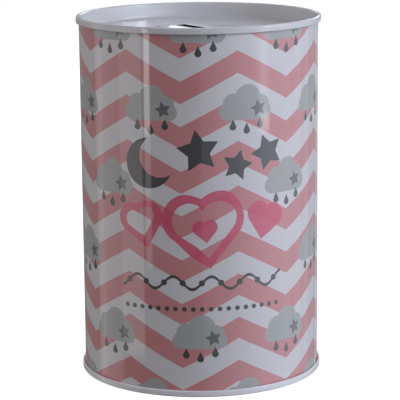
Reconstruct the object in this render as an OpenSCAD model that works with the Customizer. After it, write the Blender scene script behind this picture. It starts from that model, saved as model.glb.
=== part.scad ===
// Tin money box: a rolled sheet body folded into a double seam at each end, a sunk
// top with a raised land round its coin slot, and a sunk base with a push-in stopper.
// The tin stands on Z = 0 about the Z axis. The coin slot runs along Y.

/* [Tin] */
// Outside diameter of the rolled body
body_d = 99.4; // [85:0.2:140]
// Height over both seams
tin_h = 150; // [80:1:250]
// Thickness of the body sheet
body_t = 0.25; // [0.18:0.01:0.35]
// Thickness of the sheet of the top and the base
end_t = 0.28; // [0.18:0.01:0.4]
// Width of the welded lap down the body
lap_w = 1.2; // [0.6:0.1:4]
// Direction of the lap from +X, seen from above
lap_turn = 56; // [0:1:359]
// Distance of the lap's ends from the top and base panels
lap_gap = 1; // [0.5:0.1:10]

/* [Seams] */
// Height of each double seam
seam_h = 2.7; // [2.5:0.1:4]
// Space between the folded layers
seam_gap = 0.12; // [0.06:0.01:0.2]
// Thickness of the sealing ring over the body's fold
seal_t = 0.15; // [0.08:0.01:0.25]
// Space in front of the tip of each hook
tip_gap = 0.15; // [0.1:0.01:0.25]
// Bend radius of the seam's two outer corners, at mid sheet
seam_bend = 0.5; // [0.3:0.05:0.6]

/* [Top and base] */
// Depth of each panel inside its seam
recess = 6.4; // [5:0.1:12]
// How far the sunk wall leans in at its foot
wall_lean = 0.5; // [0.1:0.1:2]
// Bend radius at the foot of the sunk wall, at mid sheet
foot_bend = 1.3; // [0.6:0.1:2.5]

/* [Coin slot] */
// Length of the slot
slot_l = 29; // [26:0.5:40]
// Width of the slot
slot_w = 4.6; // [3.2:0.1:6]
// Corner radius of the slot
slot_r = 0.6; // [0.2:0.1:1.5]
// Height of the raised land round the slot
land_h = 0.9; // [0.5:0.1:2]
// Width of the land beyond each end of the slot
land_end = 3.5; // [1.5:0.5:10]
// Width of the land beyond each side of the slot
land_side = 8.2; // [3:0.2:15]
// Corner radius of the land
land_r = 5; // [2:0.5:5]

/* [Base] */
// Diameter of the stopper's hole
hole_d = 35; // [25:0.5:45]
// Height of the hole's turned-in collar above the panel's outer face
collar_h = 2.6; // [1.5:0.1:5]
// Bend radius at the foot of the collar, at mid sheet
collar_bend = 0.6; // [0.3:0.1:1]
// Number of pressed beads round the hole
bead_count = 2; // [1:1:3]
// Width of each bead
bead_w = 3; // [2:0.2:4]
// Height of each bead
bead_h = 0.7; // [0.3:0.1:1]

/* [Stopper] */
// Running clearance of the skirt in the hole, on the radius
skirt_gap = 0.05; // [0.02:0.01:0.1]
// Height of the skirt above the panel's outer face
skirt_h = 7.5; // [5:0.5:15]
// Thickness of the skirt
skirt_t = 1.6; // [1:0.1:3]
// Bevel round the skirt's upper edge
skirt_bevel = 0.7; // [0.3:0.1:0.9]
// Width of the head beyond the hole
head_lip = 3.5; // [2:0.5:5]
// Thickness of the head
head_t = 1.8; // [1.2:0.1:3]
// Depth of the dish in the head's underside
dish_h = 0.6; // [0.2:0.1:0.8]
// Width of the head's rim round the dish
dish_rim = 5; // [3:0.5:10]
// Reach of the finger tab beyond the head
tab_l = 4; // [2:0.5:5]
// Width of the finger tab
tab_w = 12; // [8:0.5:20]
// Thickness of the finger tab
tab_t = 1; // [0.6:0.1:1.1]
// Direction of the finger tab from +X, seen from above
tab_turn = 0; // [0:5:355]

/* [Hidden] */
$fn = 128;
// Straight pieces in each quarter of a small bend
bend_steps = 6;
// Straight pieces in the cross-section of a bead
bead_steps = 12;
// How far a cut runs past the sheet that it goes through
past = 1;

body_r = body_d / 2;
// Radius at mid sheet of the fold in each hook
fold_r = seam_gap + (end_t + body_t) / 2;
// From the axis to mid sheet: sunk wall, end's hook, body's hook, seam's outer wall
wall_r = body_r - body_t - seam_gap - end_t / 2;
end_hook_r = body_r + seam_gap + end_t / 2;
body_hook_r = end_hook_r + fold_r;
outer_r = end_hook_r + 2 * fold_r;
foot_r = wall_r - wall_lean;
// Depths from a seam's outer face to mid sheet of the panel and of the body's fold
panel_d = recess + end_t / 2;
crown_d = end_t + seal_t + body_t / 2;

hole_r = hole_d / 2;
skirt_r = hole_r - skirt_gap;
head_r = hole_r + head_lip;
tab_reach = head_r + tab_l;
land_l = slot_l + 2 * land_end;
land_w = slot_w + 2 * land_side;
lap_angle = 360 * lap_w / (PI * body_d);
lap_low = recess + end_t + lap_gap;

// Points of an arc about c from angle a to angle b, with q quarters' worth of pieces
function arc(c, r, a, b, q = 1) = let (n = bend_steps * q)
    [for (i = [0:n]) let (t = a + (b - a) * i / n) c + r * [cos(t), sin(t)]];

// Unit direction of piece i of a path, or of its first or last piece beyond the ends
function heading(path, i) =
    let (k = max(0, min(i, len(path) - 2)), v = path[k + 1] - path[k]) v / norm(v);

// A path moved sideways by d, to the left of its own direction
function beside(path, d) = [for (i = [0:len(path) - 1])
    let (m = heading(path, i - 1) + heading(path, i)) path[i] + 2 * d / (m * m) * [-m.y, m.x]];

function backwards(path) = [for (i = [len(path) - 1:-1:0]) path[i]];
function part_of(path, a, b) = [for (i = [a:b]) path[i]];

// Mid sheet of an end from the tip of its hook to the foot of its sunk wall. Points are
// [distance from the axis, depth from the seam's outer face].
end_seam = concat(
    [[end_hook_r, crown_d + body_t / 2 + tip_gap]],
    arc([body_hook_r, seam_h - end_t / 2 - fold_r], fold_r, 180, 0, 2),
    arc([outer_r - seam_bend, end_t / 2 + seam_bend], seam_bend, 0, -90),
    arc([wall_r + seam_bend, end_t / 2 + seam_bend], seam_bend, -90, -180),
    arc([foot_r - foot_bend, panel_d - foot_bend], foot_bend, 0, 90));
roof_from = 2 + 2 * bend_steps;
roof_to = roof_from + 2 * bend_steps + 1;

// Mid sheet of the body from its lower hook to its upper hook
body_path = concat(
    [[body_hook_r, seam_h - end_t - tip_gap]],
    arc([end_hook_r, crown_d + fold_r], fold_r, 0, -180, 2),
    arc([end_hook_r, tin_h - crown_d - fold_r], fold_r, 180, 0, 2),
    [[body_hook_r, tin_h - seam_h + end_t + tip_gap]]);
crown_to = 1 + 2 * bend_steps;

// Mid sheet of the base panel: beads spaced evenly between wall and stopper, then the
// collar round the hole
bead_from = foot_r - foot_bend;
bead_pitch = (bead_from - tab_reach) / (bead_count + 1);
function bead(r) = [for (i = [0:bead_steps])
    [r + bead_w * (0.5 - i / bead_steps), panel_d + bead_h * pow(sin(180 * i / bead_steps), 2)]];
base_panel = concat(
    [for (k = [1:bead_count]) each bead(bead_from - k * bead_pitch)],
    arc([hole_r + end_t / 2 + collar_bend, panel_d + collar_bend], collar_bend, -90, -180),
    [[hole_r + end_t / 2, recess + collar_h]]);

// Sheet of thickness t along a path, turned about the axis
module turned_sheet(path, t) {
    rotate_extrude() polygon(concat(beside(path, t / 2), backwards(beside(path, -t / 2))));
}

// Puts what is drawn by depth from the lower seam at the upper seam
module at_top() {
    translate([0, 0, tin_h]) mirror([0, 0, 1]) children();
}

module rounded(x, y, r) {
    square([x - 2 * r, y], center = true);
    square([x, y - 2 * r], center = true);
    for (i = [-1, 1], j = [-1, 1])
        translate([i * (x / 2 - r), j * (y / 2 - r)]) circle(r);
}

// Rolled body with a hook at each end and a lap down its inside between the panels
module printed_body() {
    color([0.86, 0.60, 0.63]) {
        turned_sheet(body_path, body_t);
        rotate([0, 0, lap_turn - lap_angle / 2])
            rotate_extrude(angle = lap_angle)
                translate([body_r - 2 * body_t, lap_low])
                    square([1.5 * body_t, tin_h - 2 * lap_low]);
    }
}

// Top: seam, sunk wall, panel, and the pressed land with the coin slot through it
module top_end() {
    color([0.74, 0.75, 0.79]) at_top() difference() {
        union() {
            turned_sheet(concat(end_seam, [[0, panel_d]]), end_t);
            translate([0, 0, recess - land_h])
                linear_extrude(land_h + end_t) rounded(land_w, land_l, land_r);
        }
        translate([0, 0, recess - land_h + end_t])
            linear_extrude(land_h + past)
                rounded(land_w - 2 * end_t, land_l - 2 * end_t, land_r - end_t);
        translate([0, 0, recess - land_h - past])
            linear_extrude(end_t + 2 * past) rounded(slot_w, slot_l, slot_r);
    }
}

// Base: seam, sunk wall, beaded panel and the collared hole for the stopper
module base_end() {
    color([0.70, 0.71, 0.75]) turned_sheet(concat(end_seam, base_panel), end_t);
}

// Sealing compound between the roof of a seam and the body's fold below it
module sealing_ring() {
    roof = part_of(beside(concat(end_seam, base_panel), -end_t / 2), roof_from, roof_to);
    crown = part_of(beside(body_path, body_t / 2), 1, crown_to);
    rotate_extrude() polygon(concat(roof, backwards(crown)));
}

module top_sealing_ring() {
    color([0.62, 0.60, 0.50]) at_top() sealing_ring();
}

module base_sealing_ring() {
    color([0.62, 0.60, 0.50]) sealing_ring();
}

// Soft stopper: a head under the base panel, a skirt up into the tin and a finger tab
module base_stopper() {
    low = recess - head_t;
    dish_r = head_r - dish_rim;
    color([0.93, 0.93, 0.92]) {
        rotate_extrude() polygon([
            [0, low + dish_h], [dish_r, low + dish_h], [dish_r, low], [head_r, low],
            [head_r, recess], [skirt_r, recess], [skirt_r, recess + skirt_h - skirt_bevel],
            [skirt_r - skirt_bevel, recess + skirt_h], [skirt_r - skirt_t, recess + skirt_h],
            [skirt_r - skirt_t, recess], [0, recess]]);
        rotate([0, 0, tab_turn]) translate([0, 0, low]) linear_extrude(tab_t) intersection() {
            translate([tab_reach - tab_w / 2, 0]) circle(tab_w / 2);
            translate([head_r - dish_rim / 2, -tab_w]) square(2 * tab_w);
        }
    }
}

printed_body();
top_end();
base_end();
top_sealing_ring();
base_sealing_ring();
base_stopper();
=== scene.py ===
"""Tin money box: printed tinplate body, plain seamed ends, coin slot and base stopper."""

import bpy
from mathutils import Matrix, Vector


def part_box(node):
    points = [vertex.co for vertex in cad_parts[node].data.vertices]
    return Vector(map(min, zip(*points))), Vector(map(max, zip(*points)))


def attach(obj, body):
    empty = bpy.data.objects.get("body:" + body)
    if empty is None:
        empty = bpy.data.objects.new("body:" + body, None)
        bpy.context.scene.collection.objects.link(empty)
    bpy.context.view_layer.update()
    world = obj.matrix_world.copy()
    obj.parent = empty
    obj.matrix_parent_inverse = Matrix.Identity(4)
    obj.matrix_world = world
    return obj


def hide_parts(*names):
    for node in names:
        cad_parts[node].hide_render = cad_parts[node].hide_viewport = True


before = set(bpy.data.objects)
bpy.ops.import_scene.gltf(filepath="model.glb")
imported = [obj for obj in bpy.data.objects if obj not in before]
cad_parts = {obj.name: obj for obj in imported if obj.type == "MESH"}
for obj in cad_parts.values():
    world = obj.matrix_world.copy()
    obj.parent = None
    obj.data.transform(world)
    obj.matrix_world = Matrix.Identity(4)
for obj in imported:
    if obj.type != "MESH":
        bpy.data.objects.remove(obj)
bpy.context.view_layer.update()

import math

import bmesh
import bpy
import numpy as np
from mathutils import Matrix

MM = 0.001

# ---- Sizes in millimetres, the same as the construction's ----------------------------
# Height of the tin and radius of its seams, from the solids
TIN_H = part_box("top_end")[1][2] / MM
SEAM_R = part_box("top_end")[1][0] / MM
# Sheets and double seams
BODY_T, END_T = 0.25, 0.28
SEAM_H, SEAM_GAP, SEAM_BEND = 2.7, 0.12, 0.5
SEAL_T, TIP_GAP = 0.15, 0.15
# Sunk ends
RECESS, WALL_LEAN, FOOT_BEND = 6.4, 0.5, 1.3
# Welded lap opposite the front of the print, with its direction from +X in degrees
LAP_W, LAP_TURN = 1.2, 56.0
# Coin slot, and the raised land round it
SLOT_L, SLOT_W, SLOT_R = 29.0, 4.6, 0.6
LAND_H, LAND_END, LAND_SIDE, LAND_R = 0.9, 3.5, 8.2, 5.0
LAND_WALL, LAND_FALL, SLOT_BEND = 0.7, 0.3, 0.09
# Beads and collared hole of the base
BEAD_COUNT, BEAD_W, BEAD_H = 2, 3.0, 0.7
HOLE_D, COLLAR_H, COLLAR_BEND = 35.0, 2.6, 0.6
# Stopper
SKIRT_GAP, SKIRT_H, SKIRT_T, SKIRT_BEVEL = 0.05, 7.5, 1.6, 0.7
HEAD_LIP, HEAD_T, DISH_H, DISH_RIM = 3.5, 1.8, 0.6, 5.0
TAB_L, TAB_W, TAB_T = 4.0, 12.0, 1.0

# Radii and depths that follow from the sizes above
FOLD_R = SEAM_GAP + (END_T + BODY_T) / 2
BODY_R = SEAM_R - 3 * SEAM_GAP - 2 * END_T - BODY_T
BODY_MID_R = BODY_R - BODY_T / 2
WALL_R = BODY_R - BODY_T - SEAM_GAP - END_T / 2
END_HOOK_R = BODY_R + SEAM_GAP + END_T / 2
BODY_HOOK_R = END_HOOK_R + FOLD_R
OUTER_R = END_HOOK_R + 2 * FOLD_R
FOOT_R = WALL_R - WALL_LEAN
PANEL_D = RECESS + END_T / 2
CROWN_D = END_T + SEAL_T + BODY_T / 2
HEAD_R = HOLE_D / 2 + HEAD_LIP
TAB_REACH = HEAD_R + TAB_L

# ---- Unevenness and small edges that only this scene has, in millimetres -------------
# Waves of the rolled sheet: height, number round, start and twist in radians
WAVES = ((0.030, 7, 0.6, 0.9), (0.018, 11, 2.1, -1.3), (0.010, 19, 4.0, 2.2))
WAVE_START, WAVE_EASE = 1.0, 12.0
# The lap stands proud on the outside, and the rest of its second thickness on the inside
LAP_PROUD, LAP_EDGE, LAP_EASE = 0.09, 0.12, 2.0
# Slight saddle of the top's panel, which dies out towards its foot
SAG, SAG_TURN, SAG_EDGE, SAG_EASE = 0.05, 0.8, 2.0, 12.0
# Exponent of the land's slight rise, and share of a round edge's radius at its middle
LAND_CROWN, BEND_MIDDLE = 1.3, 0.3
# Edges of the stopper: its tab, its head, the rim of its dish and the inside of its skirt
TAB_EDGE, HEAD_EDGE, DISH_FLAT, DISH_DRAFT = 0.2, 0.25, 1.5, 0.15
RIM_EDGE, INNER_BEND, FINE_EDGE, MIDDLE_R = 0.3, 0.4, 0.1, 0.02

# ---- Numbers of points in the meshes, and where their rows start ---------------------
FOLD_PIECES, BEND_PIECES, FOOT_PIECES, SUNK_WALL_POINTS = 12, 7, 8, 7
WALL_ROWS, WALL_START = 30, 2.5
SIDE_PIECES, CORNER_PIECES = 26, 12
PANEL_ROWS, PANEL_START, PANEL_END = 8, 1.5, 24.0
BEAD_ROWS, LAND_ROWS = 17, 11
LAND_SHARES = (0.12, 0.3, 0.5, 0.7, 0.88, 1.0)
BODY_STEP, BASE_STEP, STOPPER_STEP = 1.25, 1.0, 1.5
# Radius up to which the panel's points spread as the land's do, and width of the change
EVEN_START, EVEN_EASE = 22.0, 18.0
# Points closer than this are one, in metres
JOIN, JOIN_MOULDED = 1e-7, 1e-6

# ---- View and light ------------------------------------------------------------------
# Direction from which the camera sees the front of the print, from -Y towards +X
FRONT = -34.0
ROOM_LIGHT, LOW_LIGHT, CEILING_DIM = 0.385, 0.19, 0.45
TABLE_LIGHT, FLOOR_R = 0.70, 6.0
COOL, WARM = (0.90, 0.955, 1.11), (1.05, 0.98, 1.0)
# How bright the window looks as a reflection, from each azimuth to the next
WINDOW_GLOW = ((2, 0.45), (14, 0.75), (25, 1.05), (34, 1.35), (45, 1.65), (55, 1.9), (72, 1.8),
               (88, 1.35), (104, 0.8), (120, 0.35), (136, 0.1), (150, 0.0))
# Lower and upper edges of reflected panels, in metres above the table. The window reaches
# higher from the azimuth WINDOW_SIDE on
GLOW_LOW, GLOW_HIGH = -0.2, 0.15
WINDOW_HIGH, WINDOW_SIDE = 0.21, 20
LID_LOW, LID_HIGH = 0.2, 0.32
EDGE_FOOT = 0.07
BAR_LOW, SPOT_LOW, SPOT_HIGH = 0.071, 0.0705, 0.080
# Distances of panels from the tin's axis, in metres
SOFTBOX_DISTANCE, GLOW_DISTANCE = 1.1, 0.26


# ---- Camera --------------------------------------------------------------------------
def make_camera():
    """Stands where the photograph was taken from. Distances in millimetres."""
    distance, height = 780.0, 234.1
    pitch, roll, focal_px, frame_px = -11.80, 0.52, 1880.3, 400.0
    camera = bpy.data.cameras.new("camera")
    camera.sensor_width = 36.0
    camera.lens = focal_px * camera.sensor_width / frame_px
    camera.clip_start, camera.clip_end = 0.01, 20.0
    ob = bpy.data.objects.new("camera", camera)
    bpy.context.collection.objects.link(ob)
    turn = Matrix.Rotation(math.radians(FRONT), 4, "Z")
    aim = Matrix.Rotation(math.radians(90 + pitch), 4, "X")
    tilt = Matrix.Rotation(math.radians(-roll), 4, "Z")
    stand = Matrix.Translation((0, -distance * MM, height * MM))
    ob.matrix_world = turn @ stand @ aim @ tilt
    bpy.context.scene.camera = ob


# ---- Outlines ------------------------------------------------------------------------
def arc(centre, r, start, end, pieces):
    """Points on an arc between two angles in degrees."""
    t = np.radians(np.linspace(start, end, pieces + 1))
    return np.stack([centre[0] + r * np.cos(t), centre[1] + r * np.sin(t)], 1)


def beside(path, d):
    """The path moved sideways by d, to the left of its own direction."""
    step = np.diff(path, axis=0)
    step /= np.linalg.norm(step, axis=1)[:, None]
    m = np.vstack([step[:1], step]) + np.vstack([step, step[-1:]])
    return path + 2 * d / (m * m).sum(1)[:, None] * np.stack([-m[:, 1], m[:, 0]], 1)


def end_seam():
    """Mid sheet of an end, from its hook to the foot of its sunk wall, as [radius, depth]."""
    share = np.linspace(0, 1, SUNK_WALL_POINTS)[1:-1, None]
    crown = END_T / 2 + SEAM_BEND
    top = np.array([WALL_R, crown])
    foot = np.array([FOOT_R, PANEL_D - FOOT_BEND])
    return np.vstack([
        [[END_HOOK_R, CROWN_D + BODY_T / 2 + TIP_GAP]],
        arc([BODY_HOOK_R, SEAM_H - END_T / 2 - FOLD_R], FOLD_R, 180, 0, FOLD_PIECES),
        arc([OUTER_R - SEAM_BEND, crown], SEAM_BEND, 0, -90, BEND_PIECES),
        arc([WALL_R + SEAM_BEND, crown], SEAM_BEND, -90, -180, BEND_PIECES),
        top + (foot - top) * share,
        arc([FOOT_R - FOOT_BEND, PANEL_D - FOOT_BEND], FOOT_BEND, 0, 90, FOOT_PIECES)])


def rounded(hx, hy, r):
    """A rounded rectangle of half sizes hx and hy, from (hx, 0) round to it again, with as
    many points for any size."""
    middles = np.array([[hx, 0], [0, hy], [-hx, 0], [0, -hy]])
    share = np.linspace(0, 1, SIDE_PIECES + 1)[:-1, None]
    path = []
    for k, (sx, sy) in enumerate(((1, 1), (-1, 1), (-1, -1), (1, -1))):
        start, end = middles[k], middles[(k + 1) % 4]
        bend = arc([sx * (hx - r), sy * (hy - r)], r, 90 * k, 90 * k + 90, CORNER_PIECES)
        path.append(start + (bend[0] - start) * share)
        path.append(bend[:-1])
        path.append(bend[-1] + (end - bend[-1]) * share)
    return np.vstack(path)


# ---- Meshes --------------------------------------------------------------------------
def add_rings(bm, rings):
    """Vertices at rings of points in millimetres."""
    return [[bm.verts.new(point) for point in row] for row in (np.array(rings) * MM).tolist()]


def bridge(bm, a, b, slot=0):
    """Faces between two rings of vertices."""
    for j in range(len(a)):
        k = (j + 1) % len(a)
        bm.faces.new((a[j], a[k], b[k], b[j])).material_index = slot


def finish_mesh(name, bm, sharp=35.0):
    """A smooth object, with edges kept where faces meet at more than sharp degrees."""
    bmesh.ops.remove_doubles(bm, verts=bm.verts, dist=JOIN)
    bmesh.ops.recalc_face_normals(bm, faces=bm.faces)
    mesh = bpy.data.meshes.new(name)
    bm.to_mesh(mesh)
    bm.free()
    for face in mesh.polygons:
        face.use_smooth = True
    mesh.set_sharp_from_angle(angle=math.radians(sharp))
    ob = bpy.data.objects.new(name, mesh)
    bpy.context.collection.objects.link(ob)
    return ob


def skin(name, rings, slots):
    """A closed sheet through rings of points. slots gives the material after each ring."""
    bm = bmesh.new()
    rows = add_rings(bm, rings)
    for i, slot in enumerate(slots):
        bridge(bm, rows[i], rows[(i + 1) % len(rows)], slot)
    return finish_mesh(name, bm)


def ring(radius, z, angles):
    """Points round the axis. radius and z are numbers, or have a value for each angle."""
    radius, z = np.broadcast_to(radius, angles.shape), np.broadcast_to(z, angles.shape)
    return np.stack([radius * np.cos(angles), radius * np.sin(angles), z], 1)


def body_angles(lap, half, edge):
    """Angles round the body in radians, with the lap's middle and edges among them."""
    even = np.radians(np.arange(0, 360, BODY_STEP))
    even = even[np.abs(even - lap) > half + 2 * edge]
    fine = lap + np.array([-half - edge, -half, 0, half, half + edge])
    return np.sort(np.concatenate([even, fine]))


def make_body():
    """The rolled sheet with its hooks, slightly uneven as sprung sheet is, with the welded
    lap proud down the back."""
    lap, half, edge = math.radians(LAP_TURN), LAP_W / 2 / BODY_R, LAP_EDGE / BODY_R
    around = body_angles(lap, half, edge)
    from_lap = np.abs((around - lap + math.pi) % (2 * math.pi) - math.pi)
    on_lap = np.clip((half + edge - from_lap) / edge, 0, 1)
    wall = np.linspace(SEAM_H + WALL_START, TIN_H - SEAM_H - WALL_START, WALL_ROWS)
    path = np.vstack([
        [[BODY_HOOK_R, SEAM_H - END_T - TIP_GAP]],
        arc([END_HOOK_R, CROWN_D + FOLD_R], FOLD_R, 0, -180, FOLD_PIECES),
        np.stack([np.full_like(wall, BODY_MID_R), wall], 1),
        arc([END_HOOK_R, TIN_H - CROWN_D - FOLD_R], FOLD_R, 180, 0, FOLD_PIECES),
        [[BODY_HOOK_R, TIN_H - SEAM_H + END_T + TIP_GAP]]])
    # along the wall the tin's inside is to the left of the path, and its outside to the right
    sides = np.vstack([beside(path, BODY_T / 2), beside(path, -BODY_T / 2)[::-1]])
    rings = []
    for r, z in sides:
        from_end = min(z, TIN_H - z)
        free = np.clip((from_end - SEAM_H - WAVE_START) / WAVE_EASE, 0, 1)
        ease = free * free * (3 - 2 * free)
        wave = sum(high * np.sin(count * around + start + twist * z / TIN_H)
                   for high, count, start, twist in WAVES)
        proud = LAP_PROUD if r > BODY_MID_R else LAP_PROUD - BODY_T
        flat = np.clip((from_end - RECESS) / LAP_EASE, 0, 1)
        rings.append(ring(r + ease * wave + flat * proud * on_lap, z, around))
    between = (sides[:, 0] + np.roll(sides[:, 0], -1)) / 2
    return skin("body_sheet", rings, [0 if r > BODY_MID_R else 1 for r in between])


def rounded_ring(hx, hy, r, z):
    outline = rounded(hx, hy, r)
    return np.column_stack([outline, np.full(len(outline), z)])


def land_ring(grow, z):
    """Outline of the land at half its height, grown by a distance."""
    return rounded_ring(SLOT_W / 2 + LAND_SIDE + grow, SLOT_L / 2 + LAND_END + grow,
                        LAND_R + grow, z)


def slot_ring(grow, z):
    """Outline of the slot, grown by a distance."""
    return rounded_ring(SLOT_W / 2 + grow, SLOT_L / 2 + grow, SLOT_R + grow, z)


def panel_ring(r, z, even):
    """A circle of the top's panel. Near the land its points spread as the land's do."""
    land = land_ring(0, 0)
    spread = np.unwrap(np.arctan2(land[:, 1], land[:, 0]))
    angles = spread + (even - spread) * np.clip((r - EVEN_START) / EVEN_EASE, 0, 1)
    sag = SAG * np.cos(2 * angles + SAG_TURN) * np.clip((FOOT_R - SAG_EDGE - r) / SAG_EASE, 0, 1)
    return ring(r, z + sag, angles)


def top_face(offset):
    """Rings of one face of the top, from the hook to the slot, offset from mid sheet towards
    the outside."""
    even = np.linspace(0, 2 * math.pi, len(land_ring(0, 0)), endpoint=False)
    rings = [ring(r, TIN_H - d, even) for r, d in beside(end_seam(), offset)]
    level = TIN_H - PANEL_D + offset
    for r in np.linspace(FOOT_R - FOOT_BEND - PANEL_START, PANEL_END, PANEL_ROWS):
        rings.append(panel_ring(r, level, even))
    for s in np.linspace(0, 1, LAND_ROWS):
        rise = 0.5 - 0.5 * math.cos(math.pi * s)
        lean = LAND_WALL * (0.5 - s) + offset * math.sin(math.pi * s)
        rings.append(land_ring(lean, level + (LAND_H - LAND_FALL) * rise))
    edge, lip = land_ring(-LAND_WALL / 2, 0), slot_ring(SLOT_BEND, 0)
    for s in LAND_SHARES:
        crowned = edge + (lip - edge) * s
        crowned[:, 2] = level + LAND_H - LAND_FALL * (1 - s) ** LAND_CROWN
        rings.append(crowned)
    down = math.copysign(SLOT_BEND, offset)
    rings.append(slot_ring(SLOT_BEND * BEND_MIDDLE, level + LAND_H - down * BEND_MIDDLE))
    rings.append(slot_ring(0, level + LAND_H - down))
    return rings


def make_top():
    """The top as one sheet: seam, sunk wall, panel, land and slot, drawn from the hook to
    the slot on its outer face and back on its inner face."""
    outside, inside = top_face(END_T / 2), top_face(-END_T / 2)[::-1]
    return skin("top_sheet", outside + inside, [0] * (len(outside) - 1) + [1] * (len(inside) + 1))


def make_base():
    """The base as one sheet, with beads round a collared hole."""
    start = FOOT_R - FOOT_BEND
    pitch = (start - TAB_REACH) / (BEAD_COUNT + 1)
    beads = []
    for k in range(1, BEAD_COUNT + 1):
        for s in np.linspace(0, 1, BEAD_ROWS):
            beads.append([start - k * pitch + BEAD_W * (0.5 - s),
                          PANEL_D + BEAD_H * math.sin(math.pi * s) ** 2])
    collar_r = HOLE_D / 2 + END_T / 2
    bend = arc([collar_r + COLLAR_BEND, PANEL_D + COLLAR_BEND], COLLAR_BEND, -90, -180, FOOT_PIECES)
    path = np.vstack([end_seam(), beads, bend, [[collar_r, RECESS + COLLAR_H]]])
    outline = np.vstack([beside(path, END_T / 2), beside(path, -END_T / 2)[::-1]])
    around = np.radians(np.arange(0, 360, BASE_STEP))
    slots = [0] * (len(path) - 1) + [1] * (len(path) + 1)
    return skin("base_sheet", [ring(r, d, around) for r, d in outline], slots)


def stopper_reach(around):
    """Radius of the stopper's head with its finger tab, which points along +X."""
    tab_x = TAB_REACH - TAB_W / 2
    half_chord = np.sqrt(np.clip((TAB_W / 2) ** 2 - (tab_x * np.sin(around)) ** 2, 0, None))
    reach = np.where(np.cos(around) > 0, tab_x * np.cos(around) + half_chord, 0)
    return np.maximum(HEAD_R, reach)


def make_stopper():
    """Head, dish, skirt and finger tab as one moulding."""
    around = np.radians(np.arange(0, 360, STOPPER_STEP))
    out = stopper_reach(around)
    dish_r = HEAD_R - DISH_RIM
    skirt_r = HOLE_D / 2 - SKIRT_GAP
    bore_r = skirt_r - SKIRT_T
    low = RECESS - HEAD_T
    dish, tab, skirt = low + DISH_H, low + TAB_T, RECESS + SKIRT_H
    rows = [
        (MIDDLE_R, dish), (dish_r - DISH_FLAT, dish), (dish_r - RIM_EDGE, dish - FINE_EDGE),
        (dish_r, dish - INNER_BEND), (dish_r + DISH_DRAFT, low), (HEAD_R - RIM_EDGE, low),
        (out - HEAD_EDGE, low), (out, low + HEAD_EDGE), (out, tab - TAB_EDGE),
        (out - TAB_EDGE * (out > HEAD_R), tab), (HEAD_R, tab),
        (HEAD_R, RECESS - HEAD_EDGE), (HEAD_R - HEAD_EDGE, RECESS),
        (skirt_r, RECESS), (skirt_r, skirt - SKIRT_BEVEL), (skirt_r - SKIRT_BEVEL, skirt),
        (bore_r + FINE_EDGE, skirt), (bore_r, skirt - FINE_EDGE),
        (bore_r, RECESS + INNER_BEND), (bore_r - INNER_BEND, RECESS), (MIDDLE_R, RECESS)]
    bm = bmesh.new()
    rings = add_rings(bm, [ring(r, z, around) for r, z in rows])
    for a, b in zip(rings, rings[1:]):
        bridge(bm, a, b)
    bm.faces.new(rings[0])
    bm.faces.new(rings[-1][::-1])
    bmesh.ops.remove_doubles(bm, verts=bm.verts, dist=JOIN_MOULDED)
    bmesh.ops.dissolve_degenerate(bm, edges=bm.edges, dist=JOIN_MOULDED)
    return finish_mesh("stopper_moulding", bm, sharp=30.0)


# ---- Numbers worked out on a surface by math nodes -----------------------------------
class Field:
    """A number at each point of a surface. Arithmetic on it adds math nodes."""

    def __init__(self, tree, value):
        self.tree, self.value = tree, value

    def op(self, kind, *others, clamp=False):
        node = self.tree.nodes.new("ShaderNodeMath")
        node.operation, node.use_clamp = kind, clamp
        for socket, value in zip(node.inputs, (self, *others)):
            if isinstance(value, Field):
                self.tree.links.new(value.value, socket)
            else:
                socket.default_value = value
        return Field(self.tree, node.outputs[0])

    def __add__(self, other):
        return self.op("ADD", other)

    def __sub__(self, other):
        return self.op("SUBTRACT", other)

    def __rsub__(self, other):
        return -self + other

    def __mul__(self, other):
        return self.op("MULTIPLY", other)

    def __truediv__(self, other):
        return self.op("DIVIDE", other)

    def __neg__(self):
        return self * -1

    def abs(self):
        return self.op("ABSOLUTE")

    def sqrt(self):
        return self.op("SQRT")

    def sin(self):
        return self.op("SINE")

    def cos(self):
        return self.op("COSINE")

    def mod(self, size):
        return self.op("FLOORED_MODULO", size)

    def clamped(self):
        """Kept between 0 and 1."""
        return self.op("ADD", 0.0, clamp=True)

    def highest(self, other):
        return self.op("MAXIMUM", other)

    def lowest(self, *others):
        best = self
        for other in others:
            best = best.op("MINIMUM", other)
        return best


def coordinates(tree, kind="Object"):
    node = tree.nodes.new("ShaderNodeTexCoord")
    split = tree.nodes.new("ShaderNodeSeparateXYZ")
    tree.links.new(node.outputs[kind], split.inputs[0])
    return [Field(tree, out) for out in split.outputs]


def ink(distance, edge=0.06):
    """1 where a distance in millimetres is negative, with a thin soft edge."""
    return (0.5 - distance / (2 * edge)).clamped()


def tiled(value, pitch, shift):
    """The value from the middle of its own cell, in cells of one pitch that start at -shift."""
    return (value + shift).mod(pitch) - pitch / 2


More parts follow.
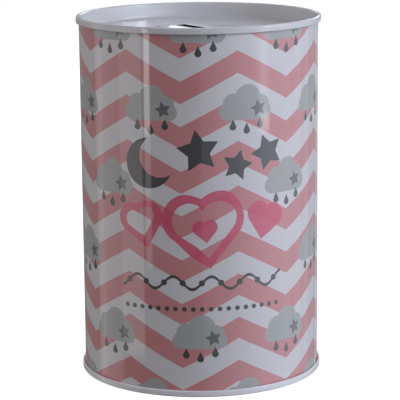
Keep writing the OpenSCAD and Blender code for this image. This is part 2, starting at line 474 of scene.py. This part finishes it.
class Print:
    """Shapes by their distance, in millimetres, on the unrolled print."""

    def __init__(self, u, v):
        self.u, self.v = u, v

    def moved(self, x, y):
        return Print(self.u - x, self.v - y)

    def turned(self, degrees):
        c, s = math.cos(math.radians(degrees)), math.sin(math.radians(degrees))
        return Print(self.u * c + self.v * s, self.v * c - self.u * s)

    def length(self):
        return (self.u * self.u + self.v * self.v).sqrt()

    def disc(self, x, y, r):
        return self.moved(x, y).length() - r

    def bar(self, x, y, half_w, half_h, r):
        """A rounded bar."""
        dx = ((self.u - x).abs() - (half_w - r)).highest(0.0)
        dy = ((self.v - y).abs() - (half_h - r)).highest(0.0)
        return Print(dx, dy).length() - r

    def star(self, r, waist, soft):
        """Five points with tips rounded by soft, and dents at waist times the tips' radius."""
        sector, trim = 2 * math.pi / 5, 1.6
        tip_r = r - soft * trim
        folded = tiled(self.u.op("ARCTAN2", self.v), sector, sector / 2).abs()
        tip = np.array([tip_r, 0.0])
        dent = tip_r * waist * np.array([math.cos(sector / 2), math.sin(sector / 2)])
        way = dent - tip
        normal = np.array([way[1], -way[0]]) / np.linalg.norm(way)
        lean = math.atan2(normal[1], normal[0])
        return self.length() * (folded - lean).cos() - float(tip @ normal) - soft

    def heart(self, r):
        """A square on its corner with half sides r, and a disc on each of its upper sides."""
        x, k = self.u.abs(), r * math.sqrt(0.5)
        square = (x + self.v.abs()) * math.sqrt(0.5) - r
        return Print(x, self.v).disc(k, k, r).lowest(square)

    def moon(self, r, bite, x, y):
        """A disc with a smaller one cut away at x, y."""
        return (self.length() - r).highest(-self.disc(x, y, bite))

    def drop(self, x, y):
        """A falling drop, round below and pointed above."""
        here, r = self.moved(x, y), 1.35
        # direction square to the straight side, and how far below its middle the side starts
        across, up, start = 0.90, 0.436, 0.1
        side = (here.u.abs() * across + here.v * up - r).highest(-here.v - start)
        return here.disc(0, 0, r).lowest(side)

    def cloud(self):
        """Three discs on a rounded bar."""
        return self.bar(0, -2.6, 11.2, 3.4, 3.4).lowest(
            self.disc(-5.4, 0.6, 4.2), self.disc(0.8, 2.6, 5.6), self.disc(6.6, 0.2, 3.6))


# ---- Node helpers --------------------------------------------------------------------
def feed(tree, socket, value):
    """Links a field or a socket, or sets a colour or a number."""
    if isinstance(value, Field):
        tree.links.new(value.value, socket)
    elif isinstance(value, bpy.types.NodeSocket):
        tree.links.new(value, socket)
    else:
        socket.default_value = (*value, 1) if isinstance(value, tuple) else value


def mix(tree, factor, below, above, blend="MIX"):
    """Colour below where factor is 0 and above where it is 1."""
    node = tree.nodes.new("ShaderNodeMix")
    node.data_type, node.blend_type = "RGBA", blend
    feed(tree, node.inputs["Factor"], factor)
    # the sockets for colours come after those for numbers and vectors
    feed(tree, node.inputs[6], below)
    feed(tree, node.inputs[7], above)
    return node.outputs[2]


def noise(tree, scale, detail=3.0, stretch=(1, 1, 1), rough=0.5, seed=0.0):
    """Noise fixed to the piece. Another seed takes it from another place."""
    coord = tree.nodes.new("ShaderNodeTexCoord")
    mapping = tree.nodes.new("ShaderNodeMapping")
    mapping.inputs["Scale"].default_value = stretch
    mapping.inputs["Location"].default_value = (seed, seed * 0.7, seed * 1.3)
    node = tree.nodes.new("ShaderNodeTexNoise")
    node.inputs["Scale"].default_value = scale
    node.inputs["Detail"].default_value = detail
    node.inputs["Roughness"].default_value = rough
    tree.links.new(coord.outputs["Object"], mapping.inputs[0])
    tree.links.new(mapping.outputs[0], node.inputs["Vector"])
    return Field(tree, node.outputs["Fac"])


def material(name):
    mat = bpy.data.materials.new(name)
    mat.use_nodes = True
    tree = mat.node_tree
    return mat, tree, tree.nodes["Principled BSDF"]


def bump(tree, shader, height, distance):
    """Unevenness of the surface, with its depth in metres."""
    node = tree.nodes.new("ShaderNodeBump")
    node.inputs["Distance"].default_value = distance
    node.inputs["Strength"].default_value = 1.0
    tree.links.new(height.value, node.inputs["Height"])
    tree.links.new(node.outputs[0], shader.inputs["Normal"])


def varnish(shader, rough):
    """A clear coat over ink or lacquer."""
    shader.inputs["Specular IOR Level"].default_value = 0.15
    shader.inputs["Coat Weight"].default_value = 1.0
    shader.inputs["Coat Roughness"].default_value = rough


# ---- Colours -------------------------------------------------------------------------
WHITE = (0.625, 0.615, 0.635)
PINK = (0.55, 0.222, 0.232)
DEEP_PINK = (0.60, 0.070, 0.15)
GREY = (0.36, 0.37, 0.36)
DARK_GREY = (0.12, 0.12, 0.122)
DARK = (0.055, 0.055, 0.058)
TOP_WHITE = (0.62, 0.62, 0.645)
# Both ends carry the same white lacquer; the base's colour is painted lighter than the top's, as
# painted light standing in for light thrown up from the white table
BASE_WHITE_PAINTED_LIGHTER = (0.73, 0.73, 0.76)
RUBBED = (0.50, 0.50, 0.52)
TIN = (0.66, 0.67, 0.71)
WELD = (0.30, 0.31, 0.36)
INNER_TIN = (0.62, 0.60, 0.55)
PLASTIC, PLASTIC_HAZE = (0.86, 0.86, 0.85), (0.78, 0.78, 0.76)
COMPOUND, COMPOUND_DARK = (0.40, 0.38, 0.28), (0.32, 0.30, 0.22)
FLOOR_WHITE = (0.90, 0.90, 0.90)

# ---- The print, in millimetres along it from the front and up it from the table ------
# Zigzag: half a period, its rise, the pitch of the stripes, their height, and one peak
ZIGZAG_HALF, ZIGZAG_RISE, STRIPE_PITCH, STRIPE_H = 23.05, 12.0, 18.0, 8.85
PEAK_U, PEAK_V = -30.6, 140.8
# Clouds: columns round the tin, pitch of the rows, and one cloud of each half of the lattice
CLOUD_COLUMNS, CLOUD_PITCH = 8, 62.0
CLOUD_U, CLOUD_V, CLOUD_DROP_V = 19.0, 119.0, 150.0
# The lowest row is drawn higher, to show above the seam
LOW_ROW_TOP, LOW_ROW_LIFT = 12.0, 3.7
# The front's middle, which the clouds leave free: half its width, its middle and half height
FREE_HALF_W, FREE_V, FREE_HALF_H = 33.0, 70.0, 34.0
# Share of the colour beneath that the hearts' ink hides
HEART_COVER = 0.93
# Wavy line with beads, and the dotted line below it
LINES_U, LINES_HALF = 0.5, 34.5
WAVY_V, WAVY_PERIOD, WAVY_H, WAVY_HALF_T = 47.4, 15.5, 2.6, 0.5
PEARL_SHIFT, PEARL_R = 3.9, 1.25
DOT_V, DOT_PITCH, DOT_R = 36.6, 3.6, 0.98
# Bare margin each side of the lap, how ragged its edge is, and half the width of the weld
MARGIN, RAGGED, WELD_HALF = 2.6, 0.12, 0.45


def stripes(tree, sheet):
    """Pink and white zigzag."""
    slope = ZIGZAG_HALF / math.hypot(ZIGZAG_HALF, ZIGZAG_RISE)
    lift = (sheet.u - PEAK_U).op("PINGPONG", ZIGZAG_HALF) * (ZIGZAG_RISE / ZIGZAG_HALF)
    below = (PEAK_V - sheet.v - lift).mod(STRIPE_PITCH)
    pink = ink(((below - STRIPE_H / 2).abs() - STRIPE_H / 2) * slope)
    return mix(tree, pink, WHITE, PINK)


def clouds(tree, sheet, colour):
    """Rain clouds with stars, in a half-drop lattice that leaves the front's middle free."""
    wide = 2 * math.pi * BODY_R / CLOUD_COLUMNS
    lifted = sheet.v - sheet.v.op("LESS_THAN", LOW_ROW_TOP) * LOW_ROW_LIFT
    for start_u, start_v in ((CLOUD_U, CLOUD_V), (CLOUD_U + wide / 2, CLOUD_DROP_V)):
        here = Print(tiled(sheet.u - start_u, wide, wide / 2),
                     tiled(lifted - start_v, CLOUD_PITCH, CLOUD_PITCH / 2))
        off_u = (sheet.u - here.u).abs() - FREE_HALF_W
        off_v = (sheet.v - here.v - FREE_V).abs() - FREE_HALF_H
        shown = off_u.highest(off_v).op("GREATER_THAN", 0.0)
        spark = here.moved(5.4, -1.6).turned(12).star(3.3, 0.5, 0.3)
        rain = here.drop(-5.6, -8.6).lowest(here.drop(0.2, -10.2), here.drop(6.2, -8.2))
        for shape, shade in ((here.cloud(), GREY), (spark, DARK_GREY), (rain, DARK)):
            colour = mix(tree, ink(shape) * shown, colour, shade)
    return colour


def night(tree, sheet, colour):
    """A crescent and three stars."""
    moon = sheet.moved(-21, 95.8).moon(10.2, 8.6, 4.6, 3.0)
    stars = [sheet.moved(-0.5, 101).turned(9).star(8.6, 0.52, 0.6),
             sheet.moved(15.2, 95).turned(-14).star(6.2, 0.52, 0.5),
             sheet.moved(28.6, 99.4).turned(20).star(7.4, 0.52, 0.5)]
    return mix(tree, ink(moon.lowest(*stars)), colour, DARK)


def hearts(tree, sheet, colour):
    """A large open heart round a small one, with an open and a filled heart at its sides."""
    big = sheet.moved(2.2, 67.6).turned(7)
    left = sheet.moved(-24.3, 70.3).turned(16)
    right = sheet.moved(27.0, 70.8).turned(-13)
    # half the width of the brush, which changes along its stroke
    brush = (sheet.u * 0.31 - sheet.v * 0.17).sin() * 0.35 + 1.85
    shape = (big.heart(8.7).abs() - brush).lowest(
        big.moved(0, 0.5).heart(3.0), left.heart(4.8).abs() - brush * 0.85, right.heart(4.9))
    return mix(tree, ink(shape) * HEART_COVER, colour, DEEP_PINK)


def lines(tree, sheet, colour):
    """A wavy line with a bead at each crossing, over a dotted line."""
    x = sheet.u - LINES_U
    past_end = x.abs() - LINES_HALF
    wave = (x * (2 * math.pi / WAVY_PERIOD)).sin() * WAVY_H
    # the factor turns a distance straight up into a mean distance across the sloping line
    wavy = ((sheet.v - WAVY_V - wave).abs() * 0.78 - WAVY_HALF_T).highest(past_end)
    pearl = Print(tiled(x, WAVY_PERIOD / 2, PEARL_SHIFT), sheet.v - WAVY_V).disc(0, 0, PEARL_R)
    dot = Print(tiled(x, DOT_PITCH, DOT_PITCH / 2), sheet.v - DOT_V).disc(0, 0, DOT_R)
    shape = wavy.lowest(pearl.highest(past_end), dot.highest(past_end))
    return mix(tree, ink(shape), colour, DARK)


def print_place(tree):
    """Place on the unrolled print: along it from the middle of the front, and up it."""
    x, y, z = coordinates(tree)
    a = math.radians(FRONT)
    ahead = x * math.sin(a) - y * math.cos(a)
    across = x * math.cos(a) + y * math.sin(a)
    return Print(across.op("ARCTAN2", ahead) * BODY_R, z / MM)


# ---- Materials -----------------------------------------------------------------------
def printed_tin():
    """Varnished print on tinplate, with a bare margin and the weld down the back."""
    mat, tree, shader = material("printed_tin")
    sheet = print_place(tree)
    colour = stripes(tree, sheet)
    for layer in (clouds, night, hearts, lines):
        colour = layer(tree, sheet, colour)
    # bare margin each side of the lap, with the weld in its middle
    from_lap = math.pi * BODY_R - sheet.u.abs()
    ragged = noise(tree, 900.0, detail=1.0) * RAGGED
    bare = ink(from_lap - MARGIN + ragged, edge=0.1)
    weld = ink(from_lap.abs() - WELD_HALF, edge=0.25)
    colour = mix(tree, bare, colour, mix(tree, weld, TIN, WELD))
    # faint mottling of the ink, and small scuffs in the varnish
    mottle = noise(tree, 140.0)
    scuff = noise(tree, 55.0, detail=5.0, stretch=(1, 1, 0.25), rough=0.6, seed=5.0)
    shade = mix(tree, mottle, (0.95, 0.95, 0.95), (1.0, 1.0, 1.0))
    feed(tree, shader.inputs["Base Color"], mix(tree, 1.0, colour, shade, "MULTIPLY"))
    feed(tree, shader.inputs["Metallic"], bare)
    feed(tree, shader.inputs["Roughness"], scuff * 0.14 + 0.30)
    varnish(shader, 0.06)
    bump(tree, shader, mottle + noise(tree, 700.0, detail=2.0) * 0.3, 0.00002)
    return mat


def bare_tin():
    """Bright rolled tinplate: fine lines along the rolling direction and faint mottling."""
    mat, tree, shader = material("inner_tin")
    rolled = noise(tree, 1.0, detail=2.0, stretch=(900.0, 900.0, 12.0))
    mottle = noise(tree, 60.0)
    smudge = noise(tree, 22.0, detail=2.0, seed=3.0)
    darker = tuple(0.93 * c for c in INNER_TIN)
    feed(tree, shader.inputs["Base Color"], mix(tree, mottle, darker, INNER_TIN))
    shader.inputs["Metallic"].default_value = 1.0
    feed(tree, shader.inputs["Roughness"], smudge * 0.10 + rolled * 0.05 + 0.265)
    bump(tree, shader, rolled * 0.5 + mottle, 0.000012)
    return mat


def lacquer(name, white, seed):
    """White stoving lacquer on tinplate, slightly wavy, with faint rubs from handling."""
    mat, tree, shader = material(name)
    cloudy = noise(tree, 45.0, detail=4.0, seed=seed)
    rub = noise(tree, 1.0, stretch=(260.0, 60.0, 120.0), rough=0.6, seed=seed + 2)
    wear = ((rub - 0.56) * 5.0).clamped() * 0.25
    clean = mix(tree, cloudy, tuple(0.95 * c for c in white), white)
    feed(tree, shader.inputs["Base Color"], mix(tree, wear, clean, RUBBED))
    feed(tree, shader.inputs["Roughness"], rub * 0.16 + cloudy * 0.08 + 0.25)
    varnish(shader, 0.08)
    bump(tree, shader, noise(tree, 350.0, detail=2.0, seed=seed), 0.000004)
    return mat


def plastic():
    """Soft white polyethylene, slightly waxy, with moulding haze and fine scratches."""
    mat, tree, shader = material("stopper_plastic")
    haze = noise(tree, 90.0, detail=4.0)
    scratch = noise(tree, 1.0, detail=2.0, stretch=(1800.0, 120.0, 400.0))
    feed(tree, shader.inputs["Base Color"], mix(tree, haze, PLASTIC_HAZE, PLASTIC))
    feed(tree, shader.inputs["Roughness"], haze * 0.16 + scratch * 0.08 + 0.32)
    shader.inputs["Subsurface Weight"].default_value = 0.25
    shader.inputs["Subsurface Radius"].default_value = (0.002, 0.002, 0.002)
    bump(tree, shader, haze + scratch * 0.3, 0.00003)
    return mat


def compound():
    """Dull rubbery lining compound, with a fine grain."""
    mat, tree, shader = material("sealing_compound")
    grain = noise(tree, 400.0)
    feed(tree, shader.inputs["Base Color"], mix(tree, grain, COMPOUND_DARK, COMPOUND))
    shader.inputs["Roughness"].default_value = 0.75
    bump(tree, shader, grain, 0.00003)
    return mat


# ---- Pieces --------------------------------------------------------------------------
def place(piece, body, node, slot, *materials):
    for mat in materials:
        piece.data.materials.append(mat)
    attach(piece, body)
    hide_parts(node)


def make_pieces():
    inner = bare_tin()
    place(make_body(), "tin", "printed_body", "printed_body", printed_tin(), inner)
    place(make_top(), "tin", "top_end", "top_end", lacquer("top_lacquer", TOP_WHITE, 0.0), inner)
    # the base's lacquer is painted lighter than the top's, as painted light from the table below
    place(make_base(), "tin", "base_end", "base_end", lacquer("base_lacquer_painted_lighter", BASE_WHITE_PAINTED_LIGHTER, 7.0), inner)
    place(make_stopper(), "stopper", "base_stopper", "base_stopper", plastic())
    seal = compound()
    for node in ("top_sealing_ring", "base_sealing_ring"):
        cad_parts[node].material_slots[0].material = seal


# ---- Floor and light -----------------------------------------------------------------
def make_floor():
    """Plain paper lit to white, which neither lights the tin nor shows in its varnish."""
    bm = bmesh.new()
    bmesh.ops.create_circle(bm, cap_ends=True, segments=96, radius=FLOOR_R)
    mesh = bpy.data.meshes.new("floor")
    bm.to_mesh(mesh)
    bm.free()
    floor = bpy.data.objects.new("floor", mesh)
    bpy.context.collection.objects.link(floor)
    mat, tree, shader = material("floor_paper")
    feed(tree, shader.inputs["Base Color"], FLOOR_WHITE)
    feed(tree, shader.inputs["Emission Color"], (1.0, 1.0, 1.0))
    shader.inputs["Emission Strength"].default_value = TABLE_LIGHT
    shader.inputs["Roughness"].default_value = 0.9
    shader.inputs["Specular IOR Level"].default_value = 0.1
    mesh.materials.append(mat)
    floor.visible_diffuse = floor.visible_glossy = False


def make_world():
    """A plain room, dimmer below the horizon and overhead."""
    world = bpy.data.worlds.new("studio")
    world.use_nodes = True
    tree = world.node_tree
    back = tree.nodes["Background"]
    back.inputs["Color"].default_value = (1.0, 0.99, 1.0, 1)
    up = coordinates(tree, "Generated")[2]
    level = (up * 2.0 + 0.5).clamped() * (ROOM_LIGHT - LOW_LIGHT) + LOW_LIGHT
    level = level * (1 - (up * 2.0 - 0.9).clamped() * CEILING_DIM)
    tree.links.new(level.value, back.inputs["Strength"])
    bpy.context.scene.world = world


def panel(name, azimuth, elevation, distance, width, height, power, colour):
    """A soft panel that faces the middle of the tin. azimuth is from the camera's side, to
    its right, and elevation above the horizon, in degrees. Sizes are in metres."""
    lamp = bpy.data.lights.new(name, "AREA")
    lamp.shape, lamp.size, lamp.size_y = "RECTANGLE", width, height
    lamp.energy, lamp.color = power, colour
    ob = bpy.data.objects.new(name, lamp)
    bpy.context.collection.objects.link(ob)
    turn = Matrix.Rotation(math.radians(FRONT + azimuth), 4, "Z")
    tip = Matrix.Rotation(math.radians(90 - elevation), 4, "X")
    middle = Matrix.Translation((0, 0, TIN_H * MM / 2))
    ob.matrix_world = middle @ turn @ tip @ Matrix.Translation((0, 0, distance))
    ob.visible_camera = False
    return ob


def softbox(name, azimuth, elevation, width, height, power, colour=(1, 1, 1)):
    """A panel that lights the tin and doesn't show as a reflection."""
    ob = panel(name, azimuth, elevation, SOFTBOX_DISTANCE, width, height, power, colour)
    ob.visible_glossy = False


def glow(name, turns, level, distance=GLOW_DISTANCE, low=GLOW_LOW, high=GLOW_HIGH, colour=COOL):
    """A white panel between two azimuths that only shows as a reflection."""
    half = math.radians(turns[1] - turns[0]) / 2
    width, height = 2 * distance * math.tan(half), high - low
    ob = panel(name, sum(turns) / 2, 0, distance, width, height,
               level * math.pi * width * height, colour)
    ob.location.z = (low + high) / 2
    ob.visible_diffuse = False


def make_light():
    """A window on the right and a dim wall on the left, as in the photograph."""
    make_world()
    softbox("window", 62, 25, 0.8, 0.7, 7.2, COOL)
    softbox("left_fill", -95, 20, 0.5, 0.7, 2.5, WARM)
    softbox("back_fill", 175, 25, 0.8, 0.7, 2.0)
    glow("left_wall", (-108, -75), 0.6, colour=WARM)
    glow("left_wall_end", (-75, -51), 1.15, low=-0.05, colour=WARM)
    glow("left_edge", (-48.5, -43), 4.0, low=EDGE_FOOT, colour=WARM)
    glow("left_edge_foot", (-48.5, -43), 1.2, low=0.0, high=EDGE_FOOT, colour=WARM)
    glow("lid_streak", (61, 73), 12.0, low=LID_LOW, high=LID_HIGH)
    glow("lid_streak_end", (73, 92), 5.0, low=LID_LOW, high=LID_HIGH)
    glow("far_left_edge", (-102, -98), 0.3, colour=WARM)
    glow("right_edge", (145, 174), 0.3, distance=0.45, high=0.1)
    for (start, level), (stop, _) in zip(WINDOW_GLOW, WINDOW_GLOW[1:]):
        high = WINDOW_HIGH if start > WINDOW_SIDE else GLOW_HIGH
        glow(f"window_{start}", (start, stop), level, high=high)
    glow("bar", (51, 64.5), 0.7, low=BAR_LOW)
    glow("bar_middle", (54.5, 61.5), 0.7, low=BAR_LOW)
    glow("spot", (54, 64.5), 2.7, low=SPOT_LOW, high=SPOT_HIGH)
    glow("spot_middle", (56.5, 62), 4.5, low=BAR_LOW, high=0.077)
    glow("far_wall", (150, 182.3), 1.9, distance=0.8, low=0.27, high=0.5)


make_camera()
make_pieces()
make_floor()
make_light()
bpy.context.scene.view_settings.view_transform = "Standard"
